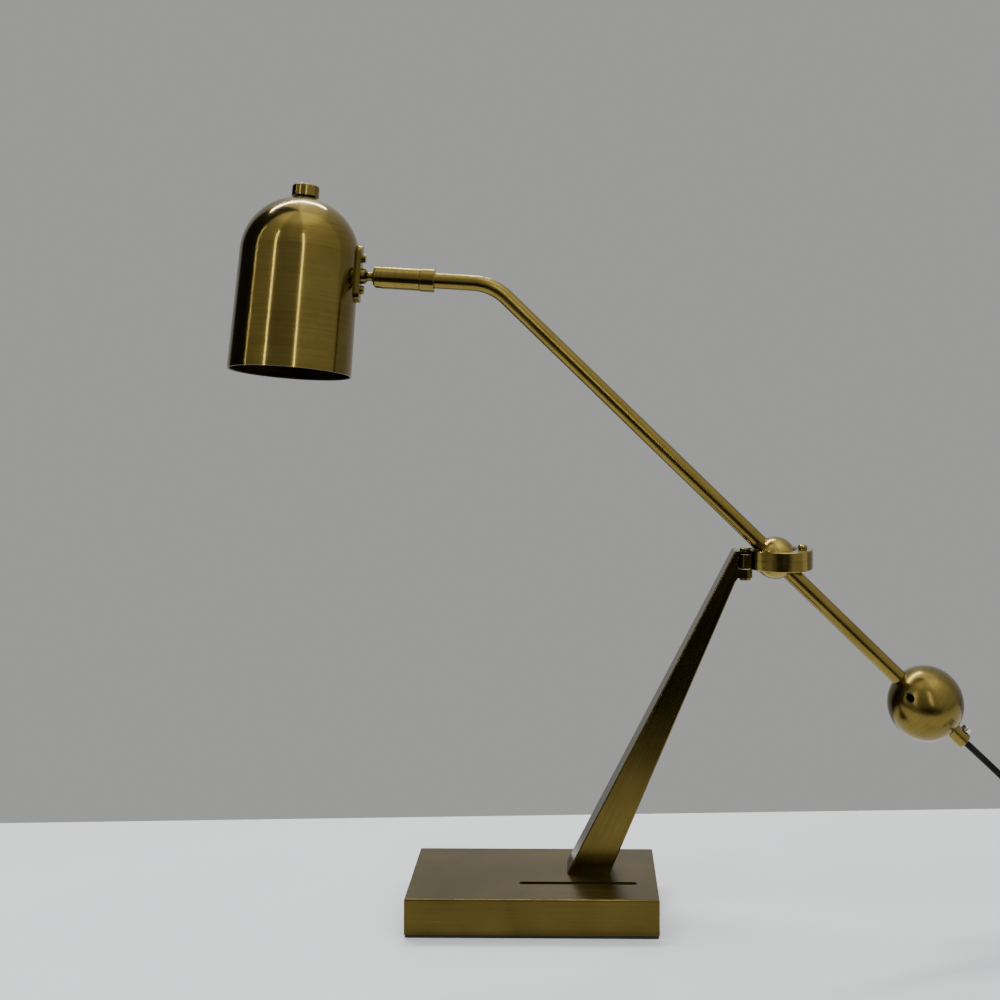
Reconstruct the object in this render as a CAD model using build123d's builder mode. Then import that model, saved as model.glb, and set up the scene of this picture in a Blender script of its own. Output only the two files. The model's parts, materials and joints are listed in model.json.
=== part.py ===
from build123d import *
import math
import os

# Swing arm desk lamp: a weighted base, a leaning post, a clamp ring that grips a ball, a bent
# tube through the ball with a sliding ball weight on its tail, and a bell shade on a ball stud.
# Millimetres.  Origin: middle of the base's underside.  +X towards the weight, +Y back, +Z up.

os.makedirs("parts", exist_ok=True)

# ---- driving dimensions -------------------------------------------------------------------

BASE_L, BASE_W = 180.0, 100.0
PAD_T = 2.2
COVER_H = 25.0
COVER_WALL = 2.5
TOP_Z = PAD_T + COVER_H
ARM_Y = 12.5                      # the plane that the post and the arm lie in

PIVOT_X, PIVOT_Z = 179.6, 258.8   # centre of the pivot ball
ARM_ANGLE = 44.1                  # rise of the arm towards the head, at rest
FRONT_RISE = 3.5                  # rise of the front length of tube, and tilt of the shade
HEAD_TURN = 7.0                   # turn of the head about the front tube, at rest, mouth forward
TUBE_R, TUBE_WALL = 6.0, 1.0
ARM_UP = 294.0                    # pivot to the corner of the bend
ARM_DOWN = 196.5                  # pivot to the tail end
BEND_R = 40.0
FRONT_L = 85.2                    # corner of the bend to the head's ball stud

POST_SPLIT_Z = 243.0              # where the hollow post ends and its cast head begins
POST_TOP_Z = 264.7
BOLT_X = 157.4                    # vertical bolt that the clamp ring swings on
EAR_R = 5.4

BALL_R = 16.0
LINER_R = 17.0
BORE_R = 17.1
RING_R = 24.3
RING_X = 183.5
RING_LOW, RING_HIGH = -7.7, 6.9   # the ring's faces, from the ball's centre
CLAMP_X = 200.2

WEIGHT_R = 28.0
WEIGHT_AT = 156.0                 # pivot to the counterweight's centre

SHADE_AXIS = 60.9                 # stud ball to the shade's axis
SHADE_R, RIM_R = 44.6, 45.8       # outer radius under the dome and at the rim
SHADE_WALL = 1.0
DOME_BASE, RIM_Z = 12.9, -76.2    # heights from the stud's axis
PLATE_T = 3.0

CORD_D = 5.0

# ---- frames that follow from them ---------------------------------------------------------


def radians_sin_cos(angle):
    return math.sin(math.radians(angle)), math.cos(math.radians(angle))


ARM_SIN, ARM_COS = radians_sin_cos(ARM_ANGLE)
FRONT_SIN, FRONT_COS = radians_sin_cos(FRONT_RISE)
TURN_SIN, TURN_COS = radians_sin_cos(HEAD_TURN)

pivot = Vector(PIVOT_X, ARM_Y, PIVOT_Z)
down_arm = Vector(ARM_COS, 0, -ARM_SIN)
over_arm = Vector(ARM_SIN, 0, ARM_COS)
bend_corner = pivot - down_arm * ARM_UP
to_bend = Vector(FRONT_COS, 0, -FRONT_SIN)
over_front = Vector(FRONT_SIN, 0, FRONT_COS)
shade_up = over_front * TURN_COS + Vector(0, TURN_SIN, 0)
shade_side = over_front * TURN_SIN - Vector(0, TURN_COS, 0)
stud_centre = bend_corner - to_bend * FRONT_L
shade_centre = stud_centre - to_bend * SHADE_AXIS
tail_end = pivot + down_arm * ARM_DOWN

head_profile = Plane(origin=stud_centre, x_dir=to_bend, z_dir=shade_side)
shade_profile = Plane(origin=shade_centre, x_dir=to_bend, z_dir=shade_side)
ball_profile = Plane(origin=pivot, x_dir=(1, 0, 0), z_dir=(0, -1, 0))
arm_side = Plane(origin=(0, ARM_Y, 0), x_dir=(1, 0, 0), z_dir=(0, -1, 0))
front_axis = Axis(stud_centre, to_bend)
shade_axis = Axis(shade_centre, shade_up)
pivot_axis = Axis(pivot, (0, 0, 1))


def across_arm(distance):
    """A plane square to the arm, that far down it from the pivot; its y is the upper side."""
    return Plane(origin=pivot + down_arm * distance, x_dir=(0, 1, 0), z_dir=down_arm)


def over_tube(distance, lift=0.0):
    """A plane facing out of the arm's upper side, that far down it and that far off its axis."""
    spot = pivot + down_arm * distance + over_arm * lift
    return Plane(origin=spot, x_dir=down_arm, z_dir=over_arm)


def across_front(distance):
    """A plane square to the front tube, that far from the stud ball towards the bend."""
    return Plane(origin=stud_centre + to_bend * distance, x_dir=(0, 1, 0), z_dir=to_bend)


def across_shade(height):
    """A plane square to the shade's axis, that high over the stud's axis."""
    return Plane(origin=shade_centre + shade_up * height, x_dir=to_bend, z_dir=shade_up)


def wall_r(height):
    """Outer radius of the shade's tapering side at a height."""
    return SHADE_R + (RIM_R - SHADE_R) * (DOME_BASE - height) / (DOME_BASE - RIM_Z)


def save(built, name):
    built.part.label = name
    export_step(built.part, f"parts/{name}.step")


# ---- base: brass cover over a steel weight, on a rubber pad -------------------------------

GROOVE_L, GROOVE_W, GROOVE_DEPTH = 85.4, 5.0, 1.2
GROOVE_X, GROOVE_Y = 32.5, -19.3
SCREW_SPOTS = ((-75, -38), (-75, 38), (75, -38), (75, 38))
FOOT_X = 40.15
BOLT_SPOTS = ((FOOT_X + 2, ARM_Y - 7.5), (FOOT_X + 2, ARM_Y + 7.5))
WEIGHT_TOP = TOP_Z - COVER_WALL
WEIGHT_GAP = 0.3
BOSS_R, BOSS_H = 4.0, 12.0
BASE_SCREW_R, BASE_SCREW_HEAD_R = 2.0, 4.8
BOLT_R, BOLT_HEAD_H = 3.0, 6.0

with BuildPart() as base_cover:
    with BuildSketch(Plane.XY.offset(PAD_T)):
        Rectangle(BASE_L, BASE_W)
    extrude(amount=COVER_H)
    fillet(base_cover.edges().filter_by(Axis.Z), 0.8)
    fillet(base_cover.faces().sort_by(Axis.Z)[-1].edges(), 1.2)
    with BuildSketch(Plane.XY.offset(PAD_T)):
        Rectangle(BASE_L - 2 * COVER_WALL, BASE_W - 2 * COVER_WALL)
    extrude(amount=COVER_H - COVER_WALL, mode=Mode.SUBTRACT)
    with BuildSketch(Plane.XY.offset(TOP_Z)):
        with Locations((GROOVE_X, GROOVE_Y)):
            SlotOverall(GROOVE_L, GROOVE_W)
    extrude(amount=-GROOVE_DEPTH, mode=Mode.SUBTRACT)
    with BuildSketch(Plane.XY.offset(TOP_Z)):
        with Locations(*BOLT_SPOTS):
            Circle(BOLT_R + 0.1)
    extrude(amount=-COVER_WALL, mode=Mode.SUBTRACT)
    with BuildSketch(Plane.XY.offset(WEIGHT_TOP)):
        with Locations(*SCREW_SPOTS):
            Circle(BOSS_R)
    extrude(amount=-BOSS_H)
    with BuildSketch(Plane.XY.offset(WEIGHT_TOP - BOSS_H)):
        with Locations(*SCREW_SPOTS):
            Circle(BASE_SCREW_R)
    extrude(amount=BOSS_H - 2, mode=Mode.SUBTRACT)
save(base_cover, "base_cover")

with BuildPart() as base_weight:
    with BuildSketch(Plane.XY.offset(PAD_T)):
        Rectangle(BASE_L - 2 * COVER_WALL - WEIGHT_GAP, BASE_W - 2 * COVER_WALL - WEIGHT_GAP)
    extrude(amount=WEIGHT_TOP - PAD_T)
    with BuildSketch(Plane.XY.offset(PAD_T)):
        with Locations(*BOLT_SPOTS):
            Circle(BOLT_R + 0.1)
        with Locations(*SCREW_SPOTS):
            Circle(BOSS_R + 0.2)
    extrude(amount=WEIGHT_TOP - PAD_T, mode=Mode.SUBTRACT)
    with BuildSketch(Plane.XY.offset(PAD_T)):
        with Locations(*BOLT_SPOTS):
            Circle(BOLT_R + 3)
    extrude(amount=BOLT_HEAD_H + 2, mode=Mode.SUBTRACT)
    with BuildSketch(Plane.XY.offset(PAD_T)):
        with Locations(*SCREW_SPOTS):
            Circle(BASE_SCREW_HEAD_R + 0.7)
    extrude(amount=WEIGHT_TOP - BOSS_H - PAD_T, mode=Mode.SUBTRACT)
save(base_weight, "base_weight")

with BuildPart() as base_screws:
    with BuildSketch(Plane.XY.offset(WEIGHT_TOP - BOSS_H)):
        with Locations(*SCREW_SPOTS):
            Circle(BASE_SCREW_HEAD_R)
    extrude(amount=-3)
    with BuildSketch(Plane.XY.offset(WEIGHT_TOP - BOSS_H)):
        with Locations(*SCREW_SPOTS):
            Circle(BASE_SCREW_R)
    extrude(amount=BOSS_H - 2.5)
save(base_screws, "base_screws")

with BuildPart() as base_pad:
    with BuildSketch(Plane.XY):
        RectangleRounded(BASE_L - 1.0, BASE_W - 1.0, 1.5)
    extrude(amount=PAD_T)
    with BuildSketch(Plane.XY):
        with Locations(*BOLT_SPOTS, *SCREW_SPOTS):
            Circle(BOLT_R + 3)
    extrude(amount=PAD_T, mode=Mode.SUBTRACT)
save(base_pad, "base_pad")

# ---- post: a hollow brass bar that leans and tapers, bolted up through the base -----------

FOOT_LEFT, FOOT_RIGHT = 24.3, 56.0
LEFT_LEAN, RIGHT_LEAN = 0.5232, 0.4332
FOOT_HALF, HEAD_HALF = 13.75, 9.7      # half the post's thickness at its foot and at its top
POST_WALL = 2.4
LEANING_WALL = POST_WALL * 1.15         # level run through a wall that leans
FOOT_PLUG_H = 18.0


def post_left(height, inset=0.0):
    return FOOT_LEFT + LEFT_LEAN * (height - TOP_Z) + inset


def post_right(height, inset=0.0):
    return FOOT_RIGHT + RIGHT_LEAN * (height - TOP_Z) - inset


def post_outline(low, high, inset=0.0):
    """The leaning, tapering side view of the post between two heights, as a face."""
    corners = [
        (post_left(low, inset), low),
        (post_right(low, inset), low),
        (post_right(high, inset), high),
        (post_left(high, inset), high),
    ]
    with BuildSketch(arm_side) as outline:
        with BuildLine():
            Polyline(*corners, close=True)
        make_face()
    return outline.sketch


def post_flanks(inset=0.0):
    """The post's tapering thickness, as a face in the YZ plane that reaches past both ends."""
    low, high = FOOT_HALF - inset, HEAD_HALF - inset
    with BuildSketch(Plane.YZ) as flanks:
        with BuildLine():
            Polyline(
                (ARM_Y - low, TOP_Z),
                (ARM_Y + low, TOP_Z),
                (ARM_Y + high, POST_TOP_Z),
                (ARM_Y - high, POST_TOP_Z),
                close=True,
            )
        make_face()
    return flanks.sketch


def post_bar(low, high, inset=0.0, flank_inset=0.0):
    """The leaning bar that both views cut out together."""
    with BuildPart() as bar:
        extrude(post_outline(low, high, inset), amount=BASE_W, both=True)
        extrude(post_flanks(flank_inset), amount=BASE_L, both=True, mode=Mode.INTERSECT)
    return bar.part


def is_leaning(edge):
    return abs((edge % 0.5).Z) > 0.5


with BuildPart() as post:
    add(post_bar(TOP_Z, POST_SPLIT_Z))
    fillet(post.edges().filter_by(is_leaning), 1.0)
    add(post_bar(TOP_Z, POST_SPLIT_Z, LEANING_WALL, POST_WALL), mode=Mode.SUBTRACT)
save(post, "post")

with BuildPart() as post_foot:
    add(post_bar(TOP_Z, TOP_Z + FOOT_PLUG_H, LEANING_WALL + 0.05, POST_WALL + 0.15))
    with BuildSketch(Plane.XY.offset(TOP_Z)):
        with Locations(*BOLT_SPOTS):
            Circle(BOLT_R)
    extrude(amount=FOOT_PLUG_H - 4, mode=Mode.SUBTRACT)
save(post_foot, "post_foot")

with BuildPart() as post_bolts:
    with BuildSketch(Plane.XY.offset(PAD_T + 2 + BOLT_HEAD_H)):
        with Locations(*BOLT_SPOTS):
            Circle(BOLT_R)
    extrude(amount=TOP_Z + FOOT_PLUG_H - 5 - (PAD_T + 2 + BOLT_HEAD_H))
    with BuildSketch(Plane.XY.offset(PAD_T + 2)):
        with Locations(*BOLT_SPOTS):
            RegularPolygon(5.5, 6)
    extrude(amount=BOLT_HEAD_H)
save(post_bolts, "post_bolts")

# ---- post head: a casting that plugs the post and carries the two ears of the hinge -------

TONGUE_LOW, TONGUE_HIGH = PIVOT_Z + RING_LOW, 261.3
WASHER_T = 0.45
LOW_EAR = (244.2, TONGUE_LOW - WASHER_T - 0.1)
HIGH_EAR = (TONGUE_HIGH + WASHER_T + 0.1, 264.1)
WEB_X = 151.0
SHANK_R = 2.5
HEAD_PLUG_H, HEAD_PLUG_HALF = 22.0, 7.0

with BuildPart() as post_head:
    with BuildSketch(arm_side):
        with BuildLine():
            Polyline(
                (post_left(POST_SPLIT_Z), POST_SPLIT_Z),
                (post_right(POST_SPLIT_Z), POST_SPLIT_Z),
                (WEB_X, POST_SPLIT_Z + 2.4),
                (WEB_X, POST_TOP_Z),
                (post_left(POST_TOP_Z), POST_TOP_Z),
                close=True,
            )
        make_face()
    extrude(amount=BASE_W, both=True)
    extrude(post_flanks(), amount=BASE_L, both=True, mode=Mode.INTERSECT)
    fillet(post_head.edges().filter_by(is_leaning).group_by(Axis.X)[0], 0.9)
    for ear_low, ear_high in (LOW_EAR, HIGH_EAR):
        with BuildSketch(Plane.XY.offset(ear_low)):
            with Locations((BOLT_X, ARM_Y)):
                Circle(EAR_R)
            with Locations(((BOLT_X + WEB_X) / 2, ARM_Y)):
                Rectangle(BOLT_X - WEB_X, 2 * EAR_R)
        extrude(amount=ear_high - ear_low)
    with BuildSketch(Plane.XY.offset(LOW_EAR[0])):
        with Locations((BOLT_X, ARM_Y)):
            Circle(SHANK_R)
    extrude(amount=HIGH_EAR[1] - LOW_EAR[0], mode=Mode.SUBTRACT)
    head_plug = post_outline(POST_SPLIT_Z - HEAD_PLUG_H, POST_SPLIT_Z, LEANING_WALL + 0.05)
    extrude(head_plug, amount=HEAD_PLUG_HALF, both=True)
save(post_head, "post_head")

with BuildPart() as hinge_bolt:
    with BuildSketch(Plane.XY.offset(LOW_EAR[0] - 2.2)):
        with Locations((BOLT_X, ARM_Y)):
            Circle(SHANK_R)
    extrude(amount=HIGH_EAR[1] - LOW_EAR[0] + 2.2)
    with BuildSketch(Plane.XY.offset(HIGH_EAR[1])):
        with Locations((BOLT_X, ARM_Y)):
            Circle(4.1)
    extrude(amount=2.2)
    fillet(hinge_bolt.edges().sort_by(Axis.Z)[-1], 0.9)
save(hinge_bolt, "hinge_bolt")

with BuildPart() as hinge_nut:
    with BuildSketch(Plane.XY.offset(LOW_EAR[0] - 2.2)):
        with Locations((BOLT_X, ARM_Y)):
            Circle(4.2)
            Circle(SHANK_R, mode=Mode.SUBTRACT)
    extrude(amount=2.2)
    fillet(hinge_nut.edges().group_by(Axis.Z)[0].sort_by(SortBy.LENGTH)[-1], 0.8)
save(hinge_nut, "hinge_nut")

with BuildPart() as hinge_washers:
    for washer_low in (LOW_EAR[1], HIGH_EAR[0] - WASHER_T):
        with BuildSketch(Plane.XY.offset(washer_low)):
            with Locations((BOLT_X, ARM_Y)):
                Circle(EAR_R - 0.3)
                Circle(SHANK_R + 0.1, mode=Mode.SUBTRACT)
        extrude(amount=WASHER_T)
save(hinge_washers, "hinge_washers")

# ---- clamp ring: two brass halves that grip the ball, with a tongue for the hinge bolt ----

RING_TOP, RING_BOTTOM = PIVOT_Z + RING_HIGH, PIVOT_Z + RING_LOW
SEAM_GAP = 0.15
HIGH_FLARE_R, LOW_FLARE_R = 17.5, 18.4
FLARE_DEPTH = 6.0
CLAMP_R = 2.0
CLAMP_HEAD_R, CLAMP_HEAD_H = 3.5, 3.0


def ring_half(low, high, clamp_hole_r):
    """One half of the ring, bored to a sphere and flared so that the arm clears it."""
    with BuildPart() as half:
        with BuildSketch(Plane.XY.offset(low)):
            with Locations((RING_X, ARM_Y)):
                Circle(RING_R)
            with Locations((BOLT_X, ARM_Y)):
                Circle(EAR_R)
            with Locations(((BOLT_X + RING_X) / 2, ARM_Y)):
                Rectangle(RING_X - BOLT_X, 2 * EAR_R)
        extrude(amount=high - low)
        outer = half.faces().sort_by(Axis.Z)
        rim_face = outer[-1] if high > PIVOT_Z + 1 else outer[0]
        chamfer(rim_face.edges(), 0.6)
        with BuildSketch(Plane.XY.offset(TONGUE_HIGH)):
            with Locations((BOLT_X, ARM_Y)):
                Circle(EAR_R + 0.5)
        extrude(amount=high - TONGUE_HIGH + 1 if high > TONGUE_HIGH else 0.01, mode=Mode.SUBTRACT)
        with BuildSketch(Plane.XY.offset(low)):
            with Locations((BOLT_X, ARM_Y)):
                Circle(SHANK_R + 0.06)
            with Locations((CLAMP_X, ARM_Y)):
                Circle(clamp_hole_r)
        extrude(amount=high - low, mode=Mode.SUBTRACT)
        with BuildSketch(ball_profile):
            with BuildLine():
                Polyline(
                    (0, 0),
                    (LOW_FLARE_R - FLARE_DEPTH, RING_LOW + FLARE_DEPTH),
                    (LOW_FLARE_R + 1, RING_LOW - 1),
                    (0, RING_LOW - 1),
                    close=True,
                )
            make_face()
            with BuildLine():
                Polyline(
                    (0, 0),
                    (HIGH_FLARE_R - FLARE_DEPTH, RING_HIGH - FLARE_DEPTH),
                    (HIGH_FLARE_R + 1, RING_HIGH + 1),
                    (0, RING_HIGH + 1),
                    close=True,
                )
            make_face()
        revolve(axis=pivot_axis, mode=Mode.SUBTRACT)
        with Locations(pivot):
            Sphere(BORE_R, mode=Mode.SUBTRACT)
    return half


ring_upper = ring_half(PIVOT_Z + SEAM_GAP / 2, RING_TOP, CLAMP_R + 0.1)
save(ring_upper, "ring_upper")
ring_lower = ring_half(RING_BOTTOM, PIVOT_Z - SEAM_GAP / 2, CLAMP_R)
save(ring_lower, "ring_lower")

with BuildPart() as clamp_screw:
    with BuildSketch(Plane.XY.offset(RING_BOTTOM + 0.3)):
        with Locations((CLAMP_X, ARM_Y)):
            Circle(CLAMP_R)
    extrude(amount=RING_TOP - RING_BOTTOM - 0.3)
    with BuildSketch(Plane.XY.offset(RING_TOP)):
        with Locations((CLAMP_X, ARM_Y)):
            Circle(CLAMP_HEAD_R)
    extrude(amount=CLAMP_HEAD_H)
    fillet(clamp_screw.edges().sort_by(Axis.Z)[-1], 1.8)
save(clamp_screw, "clamp_screw")

# ---- ball seat, pivot ball and its grub screw ---------------------------------------------

LINER_HALF = 4.0
with BuildPart() as seat_liner:
    with Locations(pivot):
        Sphere(LINER_R)
        Sphere(BALL_R + 0.08, mode=Mode.SUBTRACT)
    with BuildSketch(Plane.XY.offset(PIVOT_Z - LINER_HALF)):
        with Locations((PIVOT_X, ARM_Y)):
            Circle(30)
    extrude(amount=2 * LINER_HALF, mode=Mode.INTERSECT)
    with BuildSketch(Plane.XY.offset(PIVOT_Z - LINER_HALF)):
        with Locations((PIVOT_X + LINER_R, ARM_Y)):
            Rectangle(6, 2.0)
    extrude(amount=2 * LINER_HALF, mode=Mode.SUBTRACT)
save(seat_liner, "seat_liner")

GRUB_R = 2.0
TUBE_BORE = TUBE_R + 0.06


def bored_ball(centre, radius):
    """A ball turned about the arm, with the tube's bore right through it."""
    half_chord = math.sqrt(radius**2 - TUBE_BORE**2)
    with BuildPart() as ball:
        with BuildSketch(Plane(origin=centre, x_dir=down_arm, z_dir=(0, -1, 0))):
            with BuildLine():
                ThreePointArc((-half_chord, TUBE_BORE), (0, radius), (half_chord, TUBE_BORE))
                Line((half_chord, TUBE_BORE), (-half_chord, TUBE_BORE))
            make_face()
        revolve(axis=Axis(centre, down_arm))
    return ball.part


with BuildPart() as pivot_ball:
    add(bored_ball(pivot, BALL_R))
    with BuildSketch(over_tube(0)):
        Circle(GRUB_R)
    extrude(amount=BALL_R, mode=Mode.SUBTRACT)
save(pivot_ball, "pivot_ball")

with BuildPart() as ball_grub:
    with BuildSketch(over_tube(0, TUBE_R + 0.3)):
        Circle(GRUB_R - 0.02)
    extrude(amount=BALL_R - TUBE_R - 2.2)
    with BuildSketch(over_tube(0, BALL_R - 3.6)):
        RegularPolygon(1.0, 6)
    extrude(amount=3, mode=Mode.SUBTRACT)
save(ball_grub, "ball_grub")

# ---- arm: one bent brass tube, its tail bush and the screw that grips the cord ------------

TUBE_FRONT = 33.0                 # stud ball to the tube's front end, inside the collar
LEAD_FRONT = 21.0                 # stud ball to the inner lead's end, in the spigot
tube_front_end = stud_centre + to_bend * TUBE_FRONT
BUSH_L = 14.0
LEAD_R = 2.5
CORD_SCREW_AT = ARM_DOWN - 5.5
CORD_SCREW_R = 2.0

with BuildPart() as arm_tube:
    with BuildLine() as arm_line:
        FilletPolyline(tail_end, bend_corner, tube_front_end, radius=BEND_R)
    with BuildSketch(Plane(origin=tail_end, z_dir=down_arm * -1)):
        Circle(TUBE_R)
        Circle(TUBE_R - TUBE_WALL, mode=Mode.SUBTRACT)
    sweep()
    with BuildSketch(over_tube(CORD_SCREW_AT)):
        Circle(CORD_SCREW_R)
    extrude(amount=TUBE_R + 2, mode=Mode.SUBTRACT)
save(arm_tube, "arm_tube")

with BuildPart() as tail_bush:
    with BuildSketch(across_arm(ARM_DOWN - BUSH_L)):
        Circle(TUBE_R - TUBE_WALL)
        Circle(LEAD_R + 0.05, mode=Mode.SUBTRACT)
    extrude(amount=BUSH_L)
    with BuildSketch(over_tube(CORD_SCREW_AT)):
        Circle(CORD_SCREW_R)
    extrude(amount=TUBE_R + 2, mode=Mode.SUBTRACT)
save(tail_bush, "tail_bush")

with BuildPart() as cord_clamp_screw:
    with BuildSketch(over_tube(CORD_SCREW_AT, LEAD_R + 0.1)):
        Circle(CORD_SCREW_R - 0.05)
    extrude(amount=TUBE_R - LEAD_R)
    with BuildSketch(over_tube(CORD_SCREW_AT, TUBE_R + 0.05)):
        Circle(3.6)
    extrude(amount=3.4)
    fillet(cord_clamp_screw.edges().sort_by(Axis((0, 0, 0), over_arm))[-1], 0.5)
    with BuildSketch(over_tube(CORD_SCREW_AT, TUBE_R + 1.2)):
        RegularPolygon(1.5, 6)
    extrude(amount=3, mode=Mode.SUBTRACT)
save(cord_clamp_screw, "cord_clamp_screw")

with BuildPart() as arm_lead:
    with BuildLine():
        FilletPolyline(tail_end, bend_corner, stud_centre + to_bend * LEAD_FRONT, radius=BEND_R)
    with BuildSketch(Plane(origin=tail_end, z_dir=down_arm * -1)):
        Circle(LEAD_R)
    sweep()
save(arm_lead, "arm_lead")

# ---- counterweight: a bored brass ball that slides on the tail, held by a grub screw ------

GRUB_ALONG = -18.0
grub_out = Vector(-0.154, -0.975, -0.159).normalized()
grub_foot = pivot + down_arm * (WEIGHT_AT + GRUB_ALONG)
WEIGHT_GRUB_R, WEIGHT_GRUB_L = 2.8, 10.0
HEX_DEPTH = 2.6

with BuildPart() as counterweight:
    add(bored_ball(pivot + down_arm * WEIGHT_AT, WEIGHT_R))
    with BuildSketch(Plane(origin=grub_foot, z_dir=grub_out)):
        Circle(WEIGHT_GRUB_R)
    extrude(amount=WEIGHT_R + 2, mode=Mode.SUBTRACT)
save(counterweight, "counterweight")

with BuildPart() as counterweight_grub:
    with BuildSketch(Plane(origin=grub_foot + grub_out * (TUBE_R + 0.3), z_dir=grub_out)):
        Circle(WEIGHT_GRUB_R - 0.02)
    extrude(amount=WEIGHT_GRUB_L)
    hex_floor = grub_foot + grub_out * (TUBE_R + 0.3 + WEIGHT_GRUB_L - HEX_DEPTH)
    with BuildSketch(Plane(origin=hex_floor, z_dir=grub_out)):
        RegularPolygon(1.4, 6)
    extrude(amount=4, mode=Mode.SUBTRACT)
save(counterweight_grub, "counterweight_grub")

# ---- head joint: collar and hollow spigot on the tube, turning sleeve, ball stud ----------

SLEEVE_R, COLLAR_R = 8.5, 9.0
SLEEVE_FRONT, SLEEVE_BACK = -4.0, 30.6
COLLAR_FRONT, COLLAR_BACK = 30.85, 41.9
SPIGOT_R, SPIGOT_BORE = 5.0, 3.0
FLANGE_FRONT, FLANGE_BACK = 18.0, 20.0
STUD_BALL_R = 6.4
SOCKET_R = 6.5
NECK_R = 3.5
SLOT_HALF = 4.0

with BuildPart() as joint_collar:
    with BuildSketch(across_front(COLLAR_FRONT)):
        Circle(COLLAR_R)
        Circle(SPIGOT_R, mode=Mode.SUBTRACT)
    extrude(amount=TUBE_FRONT - COLLAR_FRONT)
    with BuildSketch(across_front(TUBE_FRONT)):
        Circle(COLLAR_R)
        Circle(TUBE_R, mode=Mode.SUBTRACT)
    extrude(amount=COLLAR_BACK - TUBE_FRONT)
    outer_edges = joint_collar.edges().filter_by(lambda e: abs(e.length - 2 * math.pi * COLLAR_R) < 0.01)
    fillet(outer_edges, 0.6)
save(joint_collar, "joint_collar")

with BuildPart() as swivel_spigot:
    with BuildSketch(across_front(FLANGE_BACK)):
        Circle(SPIGOT_R)
    extrude(amount=COLLAR_BACK - 3 - FLANGE_BACK)
    with BuildSketch(across_front(FLANGE_FRONT)):
        Circle(SOCKET_R - 0.25)
    extrude(amount=FLANGE_BACK - FLANGE_FRONT)
    with BuildSketch(across_front(FLANGE_FRONT)):
        Circle(SPIGOT_BORE)
    extrude(amount=30, mode=Mode.SUBTRACT)
save(swivel_spigot, "swivel_spigot")

with BuildPart() as swivel_sleeve:
    with BuildSketch(across_front(SLEEVE_FRONT)):
        Circle(SLEEVE_R)
    extrude(amount=SLEEVE_BACK - SLEEVE_FRONT)
    fillet(swivel_sleeve.edges().sort_by(front_axis)[0], 1.6)
    with BuildSketch(across_front(0)):
        Circle(SOCKET_R)
    extrude(amount=FLANGE_BACK + 0.3, mode=Mode.SUBTRACT)
    with BuildSketch(across_front(FLANGE_BACK)):
        Circle(SPIGOT_R + 0.06)
    extrude(amount=20, mode=Mode.SUBTRACT)
    with Locations(stud_centre):
        Sphere(SOCKET_R, mode=Mode.SUBTRACT)
    with BuildSketch(Plane(origin=stud_centre, x_dir=to_bend, z_dir=shade_up * -1)):
        Circle(SLOT_HALF)
        with Locations((-10, 0)):
            Rectangle(20, 2 * SLOT_HALF)
    extrude(amount=SLEEVE_R + 2, mode=Mode.SUBTRACT)
save(swivel_sleeve, "swivel_sleeve")

CUP_FRONT, CUP_BACK = 2.6, 10.0
CUP_BORE = 2.5
cup_hollow = STUD_BALL_R + 0.08


def on_cup_hollow(angle):
    sine, cosine = radians_sin_cos(angle)
    return (cup_hollow * cosine, cup_hollow * sine)


cup_bore_angle = math.degrees(math.asin(CUP_BORE / cup_hollow))
cup_rim_angle = math.degrees(math.acos(CUP_FRONT / cup_hollow))
with BuildPart() as pressure_cup:
    with BuildSketch(head_profile):
        with BuildLine():
            Polyline(
                on_cup_hollow(cup_rim_angle),
                (CUP_FRONT, SOCKET_R - 0.05),
                (CUP_BACK, SOCKET_R - 0.05),
                (CUP_BACK, CUP_BORE),
                on_cup_hollow(cup_bore_angle),
            )
            ThreePointArc(on_cup_hollow(cup_bore_angle), on_cup_hollow(45), on_cup_hollow(cup_rim_angle))
        make_face()
    revolve(axis=front_axis)
save(pressure_cup, "pressure_cup")

SPRING_T = 0.9
with BuildPart() as disc_springs:
    for step in range(5):
        with BuildSketch(across_front(10.2 + step * 1.45)):
            Circle(SOCKET_R - 0.3)
            Circle(SPIGOT_BORE, mode=Mode.SUBTRACT)
        extrude(amount=SPRING_T)
save(disc_springs, "disc_springs")

plate_face = SHADE_AXIS - wall_r(0) - PLATE_T       # stud ball to the plate's outer face
SPOT_DEPTH = 0.5
STUD_FLANGE_R = 5.9
STUD_THREAD_R = 3.0
stud_seat = plate_face + SPOT_DEPTH
stud_tip = plate_face + PLATE_T + 6.5

with BuildPart() as ball_stud:
    with BuildSketch(head_profile):
        with BuildLine():
            Polyline(
                (0, 0),
                (0, NECK_R),
                (-(stud_seat - 5.2), NECK_R),
                (-(stud_seat - 3.0), STUD_FLANGE_R),
                (-stud_seat, STUD_FLANGE_R),
                (-stud_seat, STUD_THREAD_R),
                (-stud_tip, STUD_THREAD_R),
                (-stud_tip, 0),
                close=True,
            )
        make_face()
    revolve(axis=front_axis)
    with Locations(stud_centre):
        Sphere(STUD_BALL_R)
    with BuildSketch(across_front(-30)):
        Circle(1.5)
    extrude(amount=60, mode=Mode.SUBTRACT)
save(ball_stud, "ball_stud")

# ---- bracket plate on the shade, its screws and nuts --------------------------------------

PLATE_MID, PLATE_HALF = 1.5, 21.8
PLATE_W = 14.0
SCREW_HEIGHTS = (PLATE_MID - 12, PLATE_MID + 12)
SCREW_R, SCREW_HEAD_R, SCREW_HEAD_H = 2.0, 3.2, 2.6
plate_low, plate_high = PLATE_MID - PLATE_HALF, PLATE_MID + PLATE_HALF


def radial_plane(height, radius):
    """A plane facing out from the shade's axis towards the arm, at a height and a radius."""
    spot = shade_centre + shade_up * height + to_bend * radius
    return Plane(origin=spot, x_dir=shade_side * -1, z_dir=to_bend)


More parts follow.
